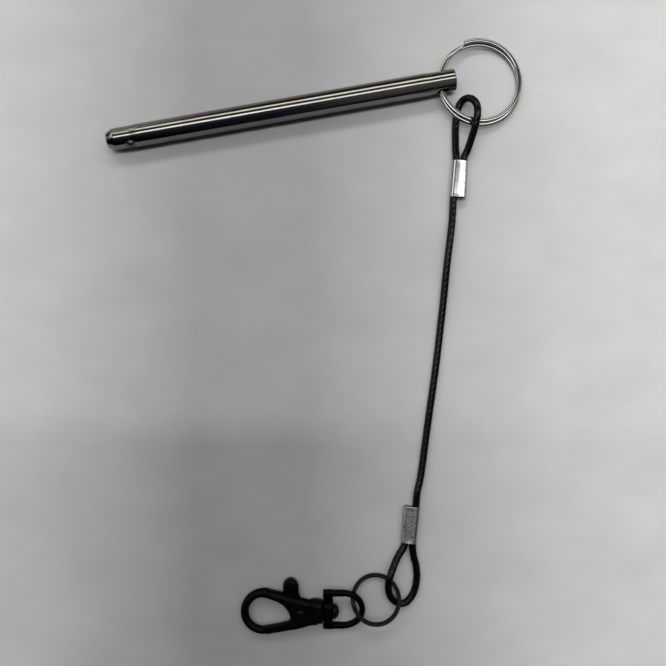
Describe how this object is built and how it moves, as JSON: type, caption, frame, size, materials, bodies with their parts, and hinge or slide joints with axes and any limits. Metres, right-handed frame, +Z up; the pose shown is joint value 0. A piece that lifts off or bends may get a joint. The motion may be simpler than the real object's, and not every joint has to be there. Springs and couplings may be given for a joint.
{
  "type": "detent ring pin with lanyard",
  "caption": "Straight detent hitch pin with a split ring through its head and a coated wire-rope lanyard ending in a small ring and a swivel trigger clasp.",
  "frame": {"origin": "on the pin's axis, in the middle of its usable grip length", "axes": "+X along the pin towards its head and ring, -X towards its tip; +Z up, away from the surface it lies on; the lanyard lies towards -Y"},
  "size_m": [0.1819, 0.2436, 0.0096],
  "materials": {
    "steel": "turned and drawn, fine lines along the bar",
    "polished_steel": "bright",
    "black_vinyl": "glossy",
    "aluminium": "satin, crimp-marked",
    "gunmetal": "dark plated",
    "black_paint": "gloss black"
  },
  "bodies": {
    "pin": {"pin_body": "steel", "detent_spring": "polished_steel"},
    "detent": {"detent_ball": "polished_steel"},
    "head_ring": {"split_ring": "polished_steel", "cable_upper": "black_vinyl", "upper_ferrule": "aluminium"},
    "lanyard": {"cable_lower": "black_vinyl", "lower_ferrule": "aluminium"},
    "small_ring": {"key_ring": "gunmetal"},
    "bail": {"swivel_bail": "black_paint"},
    "clasp": {"swivel_post": "black_paint", "clasp_body": "black_paint", "trigger_rivet": "gunmetal", "trigger_spring": "polished_steel"},
    "trigger": {"trigger": "black_paint"}
  },
  "joints": [
    {"name": "ball_press", "type": "slide", "parent": "pin", "child": "detent", "axis": [0, 0.9063, -0.4226], "range_m": [0, 0.0008], "stiffness_N_per_m": 3000, "springref_m": -0.0006, "deforming": ["detent_spring"]},
    {"name": "ring_swing", "type": "hinge", "parent": "pin", "child": "head_ring", "pos_m": [0.0704, 0, 0], "axis": [-0.1172, -0.9929, -0.021], "range_deg": [0, 150]},
    {"name": "lanyard_twist", "type": "hinge", "parent": "head_ring", "child": "lanyard", "pos_m": [0.0623, -0.0686, -0.00145], "axis": [-0.1172, -0.9929, -0.021], "range_deg": [-150, 0]},
    {"name": "small_ring_turn", "type": "hinge", "parent": "lanyard", "child": "small_ring", "pos_m": [0.0132, -0.2145, -0.001], "axis": [0, 0, 1], "range_deg": [-6, 6]},
    {"name": "bail_turn", "type": "hinge", "parent": "small_ring", "child": "bail", "pos_m": [-0.0062, -0.215, -0.001], "axis": [0, 0, 1], "range_deg": [-4, 10]},
    {"name": "clasp_swivel", "type": "hinge", "parent": "bail", "child": "clasp", "pos_m": [-0.0176, -0.2176, -0.00115], "axis": [0.9848, -0.1736, 0], "continuous": true},
    {"name": "trigger_press", "type": "hinge", "parent": "clasp", "child": "trigger", "pos_m": [-0.02929, -0.21594, -0.00115], "axis": [0, 0, -1], "range_deg": [0, 25], "stiffness_Nm_per_rad": 0.05, "springref_deg": -22.92}
  ],
  "couplings": [
    {"joint": "lanyard_twist", "follows": "ring_swing", "ratio": -1}
  ]
}
